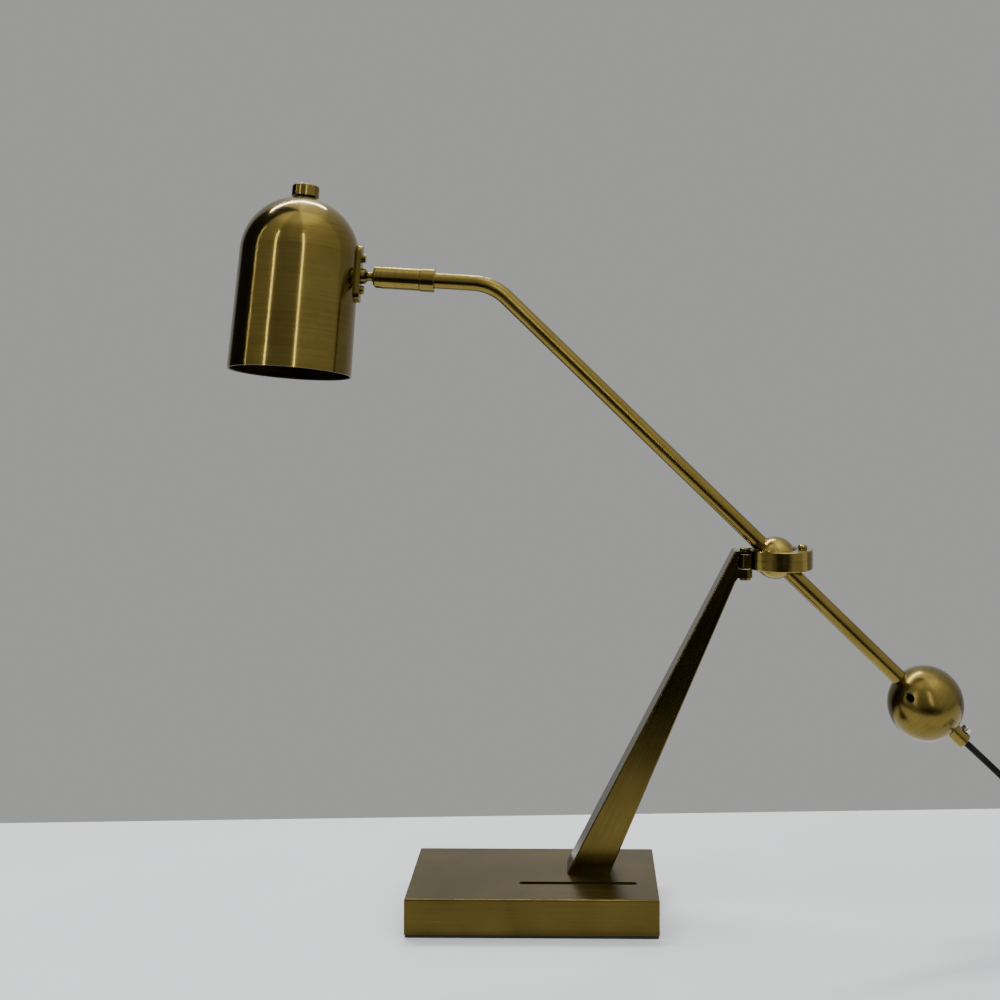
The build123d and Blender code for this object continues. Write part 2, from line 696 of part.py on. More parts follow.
with BuildPart() as bracket_plate:
    with BuildSketch(shade_profile):
        with BuildLine():
            Polyline(
                (wall_r(plate_low) + 0.02, plate_low),
                (wall_r(plate_low) + PLATE_T, plate_low),
                (wall_r(plate_high) + PLATE_T, plate_high),
                (wall_r(plate_high) + 0.02, plate_high),
                close=True,
            )
        make_face()
    revolve(axis=shade_axis)
    with BuildSketch(radial_plane(PLATE_MID, 30)):
        SlotOverall(2 * PLATE_HALF, PLATE_W, rotation=90)
    extrude(amount=30, mode=Mode.INTERSECT)
    with BuildSketch(radial_plane(0, 30)):
        Circle(STUD_THREAD_R)
    extrude(amount=30, mode=Mode.SUBTRACT)
    with BuildSketch(radial_plane(0, SHADE_AXIS - stud_seat)):
        Circle(STUD_FLANGE_R + 0.2)
    extrude(amount=5, mode=Mode.SUBTRACT)
    for height in SCREW_HEIGHTS:
        with BuildSketch(radial_plane(height, 30)):
            Circle(SCREW_R)
        extrude(amount=30, mode=Mode.SUBTRACT)
        with BuildSketch(radial_plane(height, wall_r(height) + PLATE_T - 0.3)):
            Circle(SCREW_HEAD_R + 0.2)
        extrude(amount=5, mode=Mode.SUBTRACT)
save(bracket_plate, "bracket_plate")

with BuildPart() as bracket_screws:
    for height in SCREW_HEIGHTS:
        head_seat = wall_r(height) + PLATE_T - 0.3
        with BuildSketch(radial_plane(height, wall_r(height) - 6)):
            Circle(SCREW_R)
        extrude(amount=PLATE_T + 6 - 0.3)
        with BuildSketch(radial_plane(height, head_seat)):
            Circle(SCREW_HEAD_R)
        extrude(amount=SCREW_HEAD_H)
    tops = bracket_screws.edges().filter_by(lambda e: abs(e.length - 2 * math.pi * SCREW_HEAD_R) < 0.01)
    fillet(tops.group_by(front_axis)[-1], 0.9)
save(bracket_screws, "bracket_screws")

NUT_T = 3.0
with BuildPart() as bracket_nuts:
    for height in SCREW_HEIGHTS:
        with BuildSketch(radial_plane(height, wall_r(height) - SHADE_WALL - 0.7 - NUT_T)):
            RegularPolygon(3.8, 6)
            Circle(SCREW_R, mode=Mode.SUBTRACT)
        extrude(amount=NUT_T)
    with BuildSketch(radial_plane(0, wall_r(0) - SHADE_WALL - 0.7 - NUT_T)):
        RegularPolygon(5.2, 6)
        Circle(STUD_THREAD_R, mode=Mode.SUBTRACT)
    extrude(amount=NUT_T)
save(bracket_nuts, "bracket_nuts")

# ---- shade: one spun brass shell, a gently flaring side under a round dome ----------------

BUSH_R = 5.0
RIM_BEAD = 0.9
dome_inner = SHADE_R - SHADE_WALL


def dome_point(radius, angle):
    """A point of the dome's profile, by its angle up from the dome's base."""
    sine, cosine = radians_sin_cos(angle)
    return (radius * cosine, DOME_BASE + radius * sine)


with BuildPart() as shade:
    with BuildSketch(shade_profile):
        with BuildLine():
            Line((0, DOME_BASE + dome_inner), (0, DOME_BASE + SHADE_R))
            ThreePointArc((0, DOME_BASE + SHADE_R), dome_point(SHADE_R, 45), (SHADE_R, DOME_BASE))
            Polyline(
                (SHADE_R, DOME_BASE),
                (RIM_R, RIM_Z),
                (RIM_R - SHADE_WALL, RIM_Z),
                (dome_inner, DOME_BASE),
            )
            ThreePointArc(
                (dome_inner, DOME_BASE), dome_point(dome_inner, 45), (0, DOME_BASE + dome_inner)
            )
        make_face()
        with BuildLine():
            Line((RIM_R - SHADE_WALL, RIM_Z), (RIM_R - SHADE_WALL - RIM_BEAD, RIM_Z + 0.5))
            Line((RIM_R - SHADE_WALL - RIM_BEAD, RIM_Z + 0.5), (RIM_R - SHADE_WALL - RIM_BEAD, RIM_Z + 2.0))
            Line((RIM_R - SHADE_WALL - RIM_BEAD, RIM_Z + 2.0), (RIM_R - SHADE_WALL, RIM_Z + 2.6))
            Line((RIM_R - SHADE_WALL, RIM_Z + 2.6), (RIM_R - SHADE_WALL, RIM_Z))
        make_face()
    revolve(axis=shade_axis)
    with BuildSketch(across_shade(DOME_BASE)):
        Circle(BUSH_R)
    extrude(amount=60, mode=Mode.SUBTRACT)
    for height, hole_r in ((0, STUD_THREAD_R), *((h, SCREW_R) for h in SCREW_HEIGHTS)):
        with BuildSketch(radial_plane(height, 30)):
            Circle(hole_r)
        extrude(amount=30, mode=Mode.SUBTRACT)
save(shade, "shade")

# ---- rotary switch in the dome, its nut, and the knob on top ------------------------------

DOME_TOP = DOME_BASE + SHADE_R
KNOB_R, KNOB_H = 10.3, 8.6
SWITCH_R, SWITCH_H = 11.0, 11.0
SPINDLE_R = 3.0
STRAP_T, STRAP_W = 1.2, 12.0
STRAP_HALF = 13.4
WASHER_R = 8.0
strap_corner = math.hypot(STRAP_HALF, STRAP_W / 2) + 0.1
under_dome = DOME_BASE + math.sqrt(dome_inner**2 - strap_corner**2)
washer_top = DOME_BASE + math.sqrt(dome_inner**2 - WASHER_R**2) - 0.02
switch_top = under_dome - STRAP_T

with BuildPart() as switch_body:
    with BuildSketch(across_shade(switch_top - SWITCH_H)):
        Circle(SWITCH_R)
    extrude(amount=SWITCH_H)
    with BuildSketch(across_shade(switch_top)):
        Circle(BUSH_R - 0.05)
    extrude(amount=DOME_TOP + 2.4 - switch_top)
    with BuildSketch(across_shade(switch_top - SWITCH_H + 4)):
        Circle(SPINDLE_R + 0.1)
    extrude(amount=40, mode=Mode.SUBTRACT)
save(switch_body, "switch_body")

with BuildPart() as dome_washer:
    with BuildSketch(across_shade(under_dome)):
        Circle(WASHER_R)
        Circle(BUSH_R, mode=Mode.SUBTRACT)
    extrude(amount=washer_top - under_dome)
save(dome_washer, "dome_washer")

with BuildPart() as switch_nut:
    with BuildSketch(across_shade(DOME_TOP)):
        RegularPolygon(7.2, 6)
        Circle(BUSH_R, mode=Mode.SUBTRACT)
    extrude(amount=2.0)
save(switch_nut, "switch_nut")

with BuildPart() as switch_knob:
    with BuildSketch(across_shade(DOME_TOP + 0.3)):
        Circle(KNOB_R)
    extrude(amount=KNOB_H)
    fillet(switch_knob.edges().sort_by(shade_axis)[-1], 1.4)
    with BuildSketch(across_shade(DOME_TOP + 0.3)):
        Circle(7.7)
    extrude(amount=3.0, mode=Mode.SUBTRACT)
    with BuildSketch(across_shade(switch_top - SWITCH_H + 4.5)):
        Circle(SPINDLE_R)
    extrude(amount=DOME_TOP + 4.3 - (switch_top - SWITCH_H + 4.5))
save(switch_knob, "switch_knob")

# ---- lampholder on its strap, and a small round bulb --------------------------------------

HOLDER_R, HOLDER_H = 13.0, 30.0
strap_floor = switch_top - SWITCH_H - 2.0
holder_top = strap_floor - STRAP_T
BULB_R = 22.5
BULB_CAP_R = 6.9

with BuildPart() as holder_strap:
    with BuildSketch(shade_profile):
        with Locations((0, (under_dome + holder_top) / 2)):
            outside = Rectangle(2 * STRAP_HALF, under_dome - holder_top)
            offset(outside, -STRAP_T, mode=Mode.SUBTRACT)
    extrude(amount=STRAP_W / 2, both=True)
    with BuildSketch(across_shade(holder_top)):
        Circle(BUSH_R)
    extrude(amount=60, mode=Mode.SUBTRACT)
save(holder_strap, "holder_strap")

with BuildPart() as lampholder:
    with BuildSketch(across_shade(holder_top - HOLDER_H)):
        Circle(HOLDER_R)
    extrude(amount=HOLDER_H)
    chamfer(lampholder.edges().sort_by(shade_axis)[-1], 2.0)
    with BuildSketch(across_shade(holder_top - HOLDER_H)):
        Circle(HOLDER_R - 3.2)
    extrude(amount=HOLDER_H - 5.5, mode=Mode.SUBTRACT)
save(lampholder, "lampholder")

with BuildPart() as holder_shell:
    with BuildSketch(across_shade(holder_top - HOLDER_H + 3)):
        Circle(HOLDER_R - 3.3)
        Circle(BULB_CAP_R + 0.4, mode=Mode.SUBTRACT)
    extrude(amount=HOLDER_H - 5.5 - 3.1)
save(holder_shell, "holder_shell")

cap_low = holder_top - HOLDER_H - 1.0
with BuildPart() as bulb_cap:
    with BuildSketch(across_shade(cap_low)):
        Circle(BULB_CAP_R)
    extrude(amount=19.5)
    with BuildSketch(across_shade(cap_low + 19.5)):
        Circle(BULB_CAP_R)
    extrude(amount=3.0, taper=40)
    with BuildSketch(across_shade(cap_low - 0.5)):
        Circle(BULB_CAP_R - 0.6)
    extrude(amount=18, mode=Mode.SUBTRACT)
save(bulb_cap, "bulb_cap")

GLASS_MID = cap_low - 30.5
GLASS_NECK_R = 6.7
shoulder_sin, shoulder_cos = radians_sin_cos(48)
shoulder = (BULB_R * shoulder_cos, GLASS_MID + BULB_R * shoulder_sin)
with BuildPart() as bulb_glass:
    with BuildSketch(shade_profile):
        with BuildLine():
            Polyline((0, cap_low - 0.1), (GLASS_NECK_R, cap_low - 0.1), (GLASS_NECK_R, cap_low - 2.5))
            ThreePointArc((GLASS_NECK_R, cap_low - 2.5), (GLASS_NECK_R + 2.6, cap_low - 8.6), shoulder)
            ThreePointArc(shoulder, (BULB_R, GLASS_MID), (0, GLASS_MID - BULB_R))
            Line((0, GLASS_MID - BULB_R), (0, cap_low - 0.1))
        make_face()
    revolve(axis=shade_axis)
save(bulb_glass, "bulb_glass")

with BuildPart() as head_lead:
    lead_route = [(46.0, 0), (31.5, 0), (29.0, 12), (27.0, 22), (20.0, 27.5), (13.1, 27.5)]
    with BuildLine() as lead_line:
        FilletPolyline(
            *[shade_centre + to_bend * x + shade_up * z for x, z in lead_route], radius=4.5
        )
    with BuildSketch(Plane(origin=lead_line.line @ 0, z_dir=lead_line.line % 0)):
        Circle(1.4)
    sweep()
save(head_lead, "head_lead")

# ---- supply cord: out of the tail, down to the table, a stored coil and the plug ----------

TAIL_GAP = 0.6
FLOOR_Z = CORD_D / 2 + 0.1
cord_start = tail_end + down_arm * TAIL_GAP
cord_route = [
    (cord_start.X, ARM_Y, cord_start.Z),
    (345.5, 12.5, 99.0),
    (370.5, 12.2, 74.5),
    (390.0, 11.2, 48.5),
    (409.0, 9.8, 25.0),
    (431.5, 8.2, 8.6),
    (457.5, 7.0, FLOOR_Z),
    (483.0, 6.6, FLOOR_Z),
]
COIL_X, COIL_Y = 502.0, -29.4
COIL_OUT = 38.5                   # four turns wide and two high, and one more on the outermost
plug_route = [
    (482.9, -65.4, 12.4),
    (471.0, -65.6, 10.2),
    (459.0, -64.9, 7.3),
    (447.5, -64.9, 7.3),
]


def bend_radii(route):
    """For each corner of a route, 0.45 of its shorter run over the tangent of half its turn."""
    spots = [Vector(*spot) for spot in route]
    radii = []
    for before, corner, after in zip(spots, spots[1:], spots[2:]):
        run_in, run_out = corner - before, after - corner
        turn = math.radians(run_in.get_angle(run_out))
        radii.append(0.45 * min(run_in.length, run_out.length) / math.tan(turn / 2))
    return radii


def cord_tube(route, name):
    radii = bend_radii(route)
    with BuildPart() as tube:
        with BuildLine() as line:
            FilletPolyline(*route, radius=radii)
        with BuildSketch(Plane(origin=line.line @ 0, z_dir=line.line % 0)):
            Circle(CORD_D / 2)
        sweep()
    length = line.wire().length
    expected = math.pi * (CORD_D / 2) ** 2 * length
    print(name, "length", round(length, 1), "radii", [round(r) for r in radii])
    print(name, "volume over section times length", round(tube.part.volume / expected, 4))
    save(tube, name)


cord_tube(cord_route, "supply_cord")
cord_tube(plug_route, "cord_plug_end")

coil_foot = Vector(COIL_X, COIL_Y, FLOOR_Z - CORD_D / 2)
with BuildPart() as cord_coil:
    with BuildSketch(Plane(origin=coil_foot, x_dir=(1, 0, 0), z_dir=(0, -1, 0))):
        with BuildLine():
            Polyline(
                (COIL_OUT, 0),
                (COIL_OUT, 3 * CORD_D),
                (COIL_OUT - CORD_D, 3 * CORD_D),
                (COIL_OUT - CORD_D, 2 * CORD_D),
                (COIL_OUT - 4 * CORD_D, 2 * CORD_D),
                (COIL_OUT - 4 * CORD_D, 0),
                close=True,
            )
        make_face()
    revolve(axis=Axis(coil_foot, (0, 0, 1)))
save(cord_coil, "cord_coil")

PLUG_L, PLUG_W, PLUG_H = 34.0, 26.0, 13.6
plug_back, plug_y, plug_z = plug_route[-1]
NOSE_L = 12.0
with BuildPart() as plug_body:
    nose = Plane(origin=(plug_back, plug_y, plug_z), x_dir=(0, 1, 0), z_dir=(-1, 0, 0))
    with BuildSketch(nose):
        RectangleRounded(8.6, 8.0, 3.4)
    with BuildSketch(nose.offset(NOSE_L)):
        RectangleRounded(PLUG_W, PLUG_H, 5.5)
    loft()
    with BuildSketch(nose.offset(NOSE_L)):
        RectangleRounded(PLUG_W, PLUG_H, 5.5)
    extrude(amount=PLUG_L - NOSE_L)
save(plug_body, "plug_body")

PIN_GAP = 18.6
with BuildPart() as plug_pins:
    with BuildSketch(nose.offset(PLUG_L)):
        with GridLocations(PIN_GAP, 0, 2, 1):
            Circle(2.0)
    extrude(amount=19)
    fillet(plug_pins.faces().sort_by(Axis.X)[0:2].edges(), 1.2)
save(plug_pins, "plug_pins")
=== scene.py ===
import bpy
import bmesh
import json
import math
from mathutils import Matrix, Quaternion, Vector


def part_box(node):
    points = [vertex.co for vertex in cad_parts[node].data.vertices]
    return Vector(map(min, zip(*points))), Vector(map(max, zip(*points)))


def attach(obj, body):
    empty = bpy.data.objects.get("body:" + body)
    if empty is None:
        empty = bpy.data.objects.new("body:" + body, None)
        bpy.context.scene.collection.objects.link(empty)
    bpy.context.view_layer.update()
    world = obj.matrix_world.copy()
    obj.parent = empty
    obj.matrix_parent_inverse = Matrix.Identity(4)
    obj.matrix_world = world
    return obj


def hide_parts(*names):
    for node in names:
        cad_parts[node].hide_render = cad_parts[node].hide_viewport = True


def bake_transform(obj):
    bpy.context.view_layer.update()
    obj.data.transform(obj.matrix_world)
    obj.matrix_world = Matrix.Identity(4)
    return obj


# A brass swing arm desk lamp.  The frame gives every piece its place; what follows gives the
# pieces their finish, and makes the flex, the plug's boot and the bent tube anew.

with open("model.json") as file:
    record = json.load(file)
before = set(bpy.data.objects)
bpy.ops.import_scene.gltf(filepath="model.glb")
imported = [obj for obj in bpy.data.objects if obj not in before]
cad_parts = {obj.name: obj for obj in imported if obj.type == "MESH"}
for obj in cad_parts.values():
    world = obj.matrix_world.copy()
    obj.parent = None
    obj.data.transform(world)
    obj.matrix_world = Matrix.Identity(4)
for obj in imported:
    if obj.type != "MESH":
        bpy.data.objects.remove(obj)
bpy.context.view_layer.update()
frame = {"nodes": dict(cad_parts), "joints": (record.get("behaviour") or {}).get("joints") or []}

# ---- Camera -------------------------------------------------------------------------------
# A level camera a metre in front of the lamp, a little above the middle of the arm.

camera = bpy.data.objects.new("camera", bpy.data.cameras.new("camera"))
camera.location = (0.0348, -0.9806, 0.4028)
camera.rotation_euler = (math.radians(90), 0, math.radians(0.7))
camera.data.lens = 47.74
camera.data.shift_x = -0.065
camera.data.shift_y = -0.135
bpy.context.scene.collection.objects.link(camera)
bpy.context.scene.camera = camera

# ---- Supply flex --------------------------------------------------------------------------
# Round two-core mains flex with a matt black jacket, 5 mm thick and 1.8 m long.  It leaves the
# tail of the arm, falls to the table, and the rest is wound flat into a coil beside the plug.

FLEX_R = 0.0025
ON_TABLE = 0.0026                    # height of the flex's middle where it lies on the table
COIL_CENTRE = Vector((0.502, -0.0294, 0))
OUTER_TURN = 0.036
TURN_POINTS = 24
COIL_TURNS = 8.5
FLEX_SIDES = 16

fall = [
    (0.32114, 0.0125, 0.12164),
    (0.3455, 0.0125, 0.0990),
    (0.3705, 0.0122, 0.0745),
    (0.3900, 0.0112, 0.0485),
    (0.4090, 0.0098, 0.0250),
    (0.4315, 0.0082, 0.0086),
    (0.4575, 0.0070, ON_TABLE),
    (0.4830, 0.0066, ON_TABLE),
]
to_plug = [
    (0.4829, -0.0654, 0.0124),
    (0.4710, -0.0656, 0.0102),
    (0.4590, -0.0649, 0.0073),
    (0.4475, -0.0649, 0.0073),
]


def eased(share, start, end):
    """From 0 before start to 1 after end, smoothly."""
    t = min(max((share - start) / (end - start), 0), 1)
    return t * t * (3 - 2 * t)


def coil_points():
    """Four turns inwards, four more on top outwards, and half a turn above those."""
    ranks = [0, 1, 2, 3, 3, 2, 1, 0, 0]          # each turn's place, counted from the outside
    layers = [0, 0, 0, 0, 1, 1, 1, 1, 2]
    points = []
    for step in range(int(COIL_TURNS * TURN_POINTS) + 1):
        turn, part = divmod(step / TURN_POINTS, 1)
        turn = int(turn)
        after = min(turn + 1, len(ranks) - 1)
        rank = ranks[turn] + (ranks[after] - ranks[turn]) * eased(part, 0.80, 0.98)
        layer = layers[turn] + (layers[after] - layers[turn]) * eased(part, 0.60, 0.80)
        radius = (OUTER_TURN - 2 * FLEX_R * rank) / math.cos(math.pi / TURN_POINTS)
        angle = math.pi / 2 - 2 * math.pi * part
        spot = (radius * math.cos(angle), radius * math.sin(angle), ON_TABLE + 2 * FLEX_R * layer)
        points.append(COIL_CENTRE + Vector(spot))
    return points


def smooth_line(points, name):
    """The points that a NURBS line through that route passes, evenly drawn."""
    curve = bpy.data.curves.new(name, "CURVE")
    curve.dimensions = "3D"
    spline = curve.splines.new("NURBS")
    spline.points.add(len(points) - 1)
    for point, spot in zip(spline.points, points):
        point.co = (*spot, 1)
    spline.order_u = 3
    spline.use_endpoint_u = True
    spline.resolution_u = 6
    drawn = bpy.data.objects.new(name, curve)
    line = bpy.data.meshes.new_from_object(drawn)
    found = [vertex.co.copy() for vertex in line.vertices]
    bpy.data.objects.remove(drawn)
    bpy.data.meshes.remove(line)
    bpy.data.curves.remove(curve)
    return found


def sheath(name, line, radii, sides=20, bore=0.0):
    """A round bar of those radii along a line, or a pipe if it has a bore.  Its UV map runs round
    it and along it, in metres."""
    mesh = bmesh.new()
    uv = mesh.loops.layers.uv.new("UVMap")
    heading = (line[1] - line[0]).normalized()
    across = heading.orthogonal().normalized()
    rings, inner, lengths = [], [], [0.0]
    for index, (spot, radius) in enumerate(zip(line, radii)):
        before, after = line[max(index - 1, 0)], line[min(index + 1, len(line) - 1)]
        new_heading = (after - before).normalized()
        across = heading.rotation_difference(new_heading) @ across
        across = (across - new_heading * across.dot(new_heading)).normalized()
        heading = new_heading
        spokes = [Quaternion(heading, 2 * math.pi * side / sides) @ across for side in range(sides)]
        rings.append([mesh.verts.new(spot + spoke * radius) for spoke in spokes])
        if bore:
            inner.append([mesh.verts.new(spot + spoke * bore) for spoke in spokes])
        lengths.append(lengths[-1] + (after - spot).length)
    for index in range(len(rings) - 1):
        for side in range(sides):
            other = (side + 1) % sides
            ring, following = rings[index], rings[index + 1]
            face = mesh.faces.new((ring[side], ring[other], following[other], following[side]))
            rim = 2 * math.pi * radii[index] / sides
            corners = ((side, 0), (side + 1, 0), (side + 1, 1), (side, 1))
            for loop, (step, along) in zip(face.loops, corners):
                loop[uv].uv = (step * rim, lengths[index + along])
            if bore:
                ring, following = inner[index], inner[index + 1]
                mesh.faces.new((ring[other], ring[side], following[side], following[other]))
    if bore:
        for ring, hole in ((rings[0], inner[0]), (inner[-1], rings[-1])):
            for side in range(sides):
                other = (side + 1) % sides
                mesh.faces.new((ring[other], ring[side], hole[side], hole[other]))
    else:
        mesh.faces.new(list(reversed(rings[0])))
        mesh.faces.new(rings[-1])
    data = bpy.data.meshes.new(name)
    mesh.to_mesh(data)
    mesh.free()
    data.shade_smooth()
    data.set_sharp_from_angle(angle=math.radians(40))
    made = bpy.data.objects.new(name, data)
    bpy.context.scene.collection.objects.link(made)
    return made


def node(tree, kind, sockets=(), **settings):
    """Adds a shader node; each socket is given a value or another node's output."""
    made = tree.nodes.new(kind)
    for setting, value in settings.items():
        setattr(made, setting, value)
    for socket, source in dict(sockets).items():
        if isinstance(source, bpy.types.NodeSocket):
            tree.links.new(source, made.inputs[socket])
        else:
            made.inputs[socket].default_value = source
    return made


def maths(tree, operation, *values):
    return node(tree, "ShaderNodeMath", dict(enumerate(values)), operation=operation).outputs[0]


def vectors(tree, operation, *values):
    made = node(tree, "ShaderNodeVectorMath", dict(enumerate(values)), operation=operation)
    return made.outputs["Value" if operation in ("DOT_PRODUCT", "LENGTH") else "Vector"]


def scaled(tree, vector, amount):
    made = node(tree, "ShaderNodeVectorMath", {0: vector, "Scale": amount}, operation="SCALE")
    return made.outputs["Vector"]


def noise(tree, at, scale, detail=4.0, roughness=0.55):
    sockets = {"Vector": at, "Scale": scale, "Detail": detail, "Roughness": roughness}
    return node(tree, "ShaderNodeTexNoise", sockets).outputs["Fac"]


def ramp(tree, value, stops):
    """A colour ramp; each stop is a place and a grey level or a colour."""
    made = node(tree, "ShaderNodeValToRGB", {"Fac": value})
    for index, (place, colour) in enumerate(stops):
        element = made.color_ramp.elements[index] if index < 2 else made.color_ramp.elements.new(place)
        element.position = place
        element.color = (*colour, 1) if isinstance(colour, tuple) else (colour, colour, colour, 1)
    return made.outputs["Color"]


def shader_of(name):
    material = bpy.data.materials.new(name)
    material.use_nodes = True
    return material, material.node_tree, material.node_tree.nodes["Principled BSDF"]


def dress(node_name, material):
    """Gives a piece of the frame its finish."""
    mesh = frame["nodes"][node_name].data
    mesh.materials.clear()
    mesh.materials.append(material)


def moulded(name, dark, light, roughness, grain, depth, shine=0.3):
    """Moulded rubber or plastic: a fine grain, faint mottling, and a duller bloom in patches."""
    material, tree, surface = shader_of(name)
    at = node(tree, "ShaderNodeTexCoord").outputs["Object"]
    mottle = noise(tree, at, 60.0)
    fine = noise(tree, at, grain, 2.0)
    tree.links.new(ramp(tree, mottle, [(0.35, dark), (0.7, light)]), surface.inputs["Base Color"])
    bloom = maths(tree, "MULTIPLY_ADD", mottle, 0.18, roughness - 0.09)
    tree.links.new(bloom, surface.inputs["Roughness"])
    bump = node(tree, "ShaderNodeBump", {"Height": fine, "Strength": 0.35, "Distance": depth})
    tree.links.new(bump.outputs["Normal"], surface.inputs["Normal"])
    surface.inputs["Specular IOR Level"].default_value = shine
    return material


flex_jacket = moulded("flex_jacket", (0.004, 0.004, 0.004), (0.009, 0.009, 0.008), 0.50, 2500.0, 0.00001, 0.1)
flex_line = smooth_line([Vector(spot) for spot in fall] + coil_points()
                        + [Vector(spot) for spot in to_plug], "flex_route")
flex = sheath("supply_flex", flex_line, [FLEX_R] * len(flex_line), FLEX_SIDES)
flex.data.materials.append(flex_jacket)
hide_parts("supply_cord", "cord_coil", "cord_plug_end")
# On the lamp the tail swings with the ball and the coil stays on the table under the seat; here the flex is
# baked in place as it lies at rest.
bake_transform(flex)

# ---- Plug boot ----------------------------------------------------------------------------
# The moulded rubber boot that keeps the flex from kinking where it enters the plug: a taper
# with ribs cut across it, in one piece with the plug's body.

BOOT_LENGTH = 0.024
BOOT_WIDE, BOOT_SLIM = 0.0043, 0.0030
BOOT_RIBS = 6
RIB_DEPTH = 0.0006
BOOT_STEPS, BOOT_SIDES = 60, 28


def boot_radius(along):
    """Ribs stand proud over the near two thirds of the taper."""
    taper = BOOT_WIDE + (BOOT_SLIM - BOOT_WIDE) * along
    rib = 0.5 + 0.5 * math.cos(2 * math.pi * BOOT_RIBS * along)
    return taper - RIB_DEPTH * (1 - rib) * (along < 0.8)


boot_line = [flex_line[-1]]
walked = 0.0
for spot in reversed(flex_line[:-1]):
    step = (spot - boot_line[-1]).length
    if walked + step > BOOT_LENGTH:
        break
    walked += step
    boot_line.append(spot)
boot_track = []
boot_radii = []
for index in range(BOOT_STEPS + 1):
    share = index / BOOT_STEPS
    place = share * (len(boot_line) - 1)
    low = min(int(place), len(boot_line) - 2)
    boot_track.append(boot_line[low].lerp(boot_line[low + 1], place - low))
    boot_radii.append(boot_radius(share))
boot = sheath("plug_boot", boot_track, boot_radii, BOOT_SIDES)
boot.data.materials.append(flex_jacket)
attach(boot, "ball_seat")

# ---- Plug ---------------------------------------------------------------------------------
# A flat two-pin plug, its body moulded in black PVC over nickel-plated brass pins.

plug_black = moulded("plug_black", (0.012, 0.012, 0.012), (0.026, 0.025, 0.024), 0.42, 1800.0, 0.00002)
dress("plug_body", plug_black)

# ---- Table and light ----------------------------------------------------------------------
# A pale satin table top, and the room behind it in plain light grey.  Thin tall strip lights
# stand in front to the left and the right, and one long strip hangs above and behind.

FLOOR_REACH = 3.0
TABLE_FRONT, TABLE_BACK = -0.38, 0.205
BACK_SKEW = 0.055                    # the far edge runs a little away from the lamp to the right
ROOM_LIGHT = 4.6
ROOM_GREY = (0.36, 0.365, 0.355, 1)

table_white, tree, surface = shader_of("table_white")
at = node(tree, "ShaderNodeTexCoord").outputs["Object"]
tree.links.new(
    ramp(tree, noise(tree, at, 6.0), [(0.3, (0.86, 0.88, 0.90)), (0.7, (0.90, 0.92, 0.94))]),
    surface.inputs["Base Color"])
surface.inputs["Roughness"].default_value = 0.38


def table_part(name, front, back, skew=0.0):
    """A flat sheet of table or floor between two depths, its far edge at a slight slant."""
    mesh = bpy.data.meshes.new(name)
    slant = FLOOR_REACH * skew
    corners = [(-FLOOR_REACH, front, 0), (FLOOR_REACH, front, 0),
               (FLOOR_REACH, back + slant, 0), (-FLOOR_REACH, back - slant, 0)]
    mesh.from_pydata(corners, [], [(0, 1, 2, 3)])
    mesh.materials.append(table_white)
    made = bpy.data.objects.new(name, mesh)
    bpy.context.scene.collection.objects.link(made)
    return made


table_part("table_top", TABLE_FRONT, TABLE_BACK, BACK_SKEW)
near_floor = table_part("table_near", -FLOOR_REACH, TABLE_FRONT)
near_floor.visible_glossy = False          # the brass mirrors a dark room past the table's edge

world = bpy.data.worlds.new("room")
world.use_nodes = True
bpy.context.scene.world = world
tree = world.node_tree
looking = node(tree, "ShaderNodeTexCoord").outputs["Generated"]
ways = node(tree, "ShaderNodeSeparateXYZ", {"Vector": looking}).outputs
azimuth = maths(tree, "ARCTAN2", ways["X"], maths(tree, "MULTIPLY", ways["Y"], -1.0))
around = maths(tree, "MULTIPLY_ADD", azimuth, 0.5 / math.pi, 0.5)
# From behind on the left, round the front, to behind on the right.
walls = ramp(tree, around, [
    (0.0, 0.60), (0.06, 0.36), (0.134, 0.30), (0.139, 0.02), (0.275, 0.02), (0.28, 0.36), (0.39, 0.46),
    (0.415, 0.28), (0.545, 0.36), (0.565, 0.62), (0.765, 0.60), (0.775, 0.42), (0.94, 0.44), (1.0, 0.60),
])
rise = maths(tree, "MULTIPLY_ADD", ways["Z"], 0.5, 0.5)
height = ramp(tree, rise, [(0.495, 0.0), (0.515, 0.22), (0.75, 0.30), (0.90, 0.50), (0.96, 1.0)])
# Below the horizon the room is dark straight in front, and paler to the sides and behind.
floor_tone = ramp(tree, around, [
    (0.0, 0.20), (0.125, 0.20), (0.14, 0.02), (0.28, 0.02), (0.32, 0.15), (0.42, 0.15),
    (0.46, 0.008), (0.56, 0.008), (0.61, 0.16), (0.85, 0.16), (0.88, 0.20),
])
below = vectors(tree, "MULTIPLY", floor_tone, ramp(tree, rise, [(0.495, 1.0), (0.515, 0.0)]))
lit = vectors(tree, "MULTIPLY", walls, vectors(tree, "ADD", height, below))
tree.links.new(lit, tree.nodes["Background"].inputs["Color"])
tree.nodes["Background"].inputs["Strength"].default_value = ROOM_LIGHT
# The room itself shows as one plain pale grey.
plain = node(tree, "ShaderNodeBackground", {"Color": ROOM_GREY, "Strength": 1.0})
seen = node(tree, "ShaderNodeLightPath").outputs["Is Camera Ray"]
chosen = node(tree, "ShaderNodeMixShader", {0: seen})
tree.links.new(tree.nodes["Background"].outputs[0], chosen.inputs[1])
tree.links.new(plain.outputs[0], chosen.inputs[2])
tree.links.new(chosen.outputs[0], tree.nodes["World Output"].inputs["Surface"])


def strip_light(name, place, aim, wide, tall, watts):
    """A long thin light at a place, turned to face the aim."""
    lamp = bpy.data.lights.new(name, "AREA")
    lamp.shape = "RECTANGLE"
    lamp.size, lamp.size_y = wide, tall
    lamp.energy = watts
    made = bpy.data.objects.new(name, lamp)
    made.location = place
    made.rotation_euler = (Vector(aim) - Vector(place)).to_track_quat("-Z", "Y").to_euler()
    bpy.context.scene.collection.objects.link(made)


